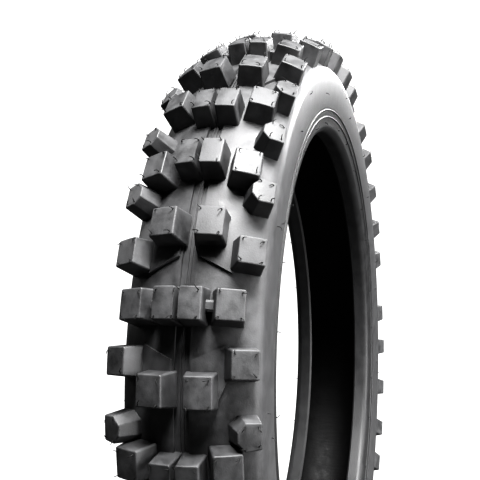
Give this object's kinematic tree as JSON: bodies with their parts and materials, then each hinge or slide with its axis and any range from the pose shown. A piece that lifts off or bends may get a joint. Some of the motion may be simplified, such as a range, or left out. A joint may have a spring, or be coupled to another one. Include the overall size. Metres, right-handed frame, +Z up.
{
  "type": "motorcycle tyre",
  "caption": "Unmounted off-road motorcycle tyre with tall separate tread blocks, open centre channel, fabric casing, wire beads and a rim-sized bore.",
  "frame": {"origin": "centre of the tyre on its axle line", "axes": "+Y along the axle towards the left sidewall, +Z up, tyre standing on its tread"},
  "size_m": [0.6853, 0.119, 0.6859],
  "materials": {
    "tread_rubber": "satin, moulded",
    "sidewall_rubber": "satin, smooth",
    "bead_rubber": "satin, ribbed",
    "liner_rubber": "matte",
    "hard_rubber": "matte",
    "ply_fabric": "rubber-coated cord",
    "bead_wire": "bronze-coated wire"
  },
  "bodies": {
    "root": {"bead_filler_left": "hard_rubber", "bead_filler_right": "hard_rubber", "bead_insulation_left": "hard_rubber", "bead_insulation_right": "hard_rubber", "bead_wires_left": "bead_wire", "bead_wires_right": "bead_wire", "bead_wrap_left": "ply_fabric", "bead_wrap_right": "ply_fabric", "breaker": "ply_fabric", "chafer_left": "ply_fabric", "chafer_right": "ply_fabric", "inner_liner": "liner_rubber", "inner_ply": "ply_fabric", "intermediate_blocks_left": "tread_rubber", "intermediate_blocks_right": "tread_rubber", "narrow_centre_blocks_left": "tread_rubber", "narrow_centre_blocks_right": "tread_rubber", "outer_ply": "ply_fabric", "pointed_shoulder_blocks_left": "tread_rubber", "pointed_shoulder_blocks_right": "tread_rubber", "rim_cushion_left": "bead_rubber", "rim_cushion_right": "bead_rubber", "sidewall_left": "sidewall_rubber", "sidewall_right": "sidewall_rubber", "square_shoulder_blocks_left": "tread_rubber", "square_shoulder_blocks_right": "tread_rubber", "tread_base": "tread_rubber", "tread_steps_left": "tread_rubber", "tread_steps_right": "tread_rubber", "wide_centre_blocks_left": "tread_rubber", "wide_centre_blocks_right": "tread_rubber"}
  },
  "joints": []
}
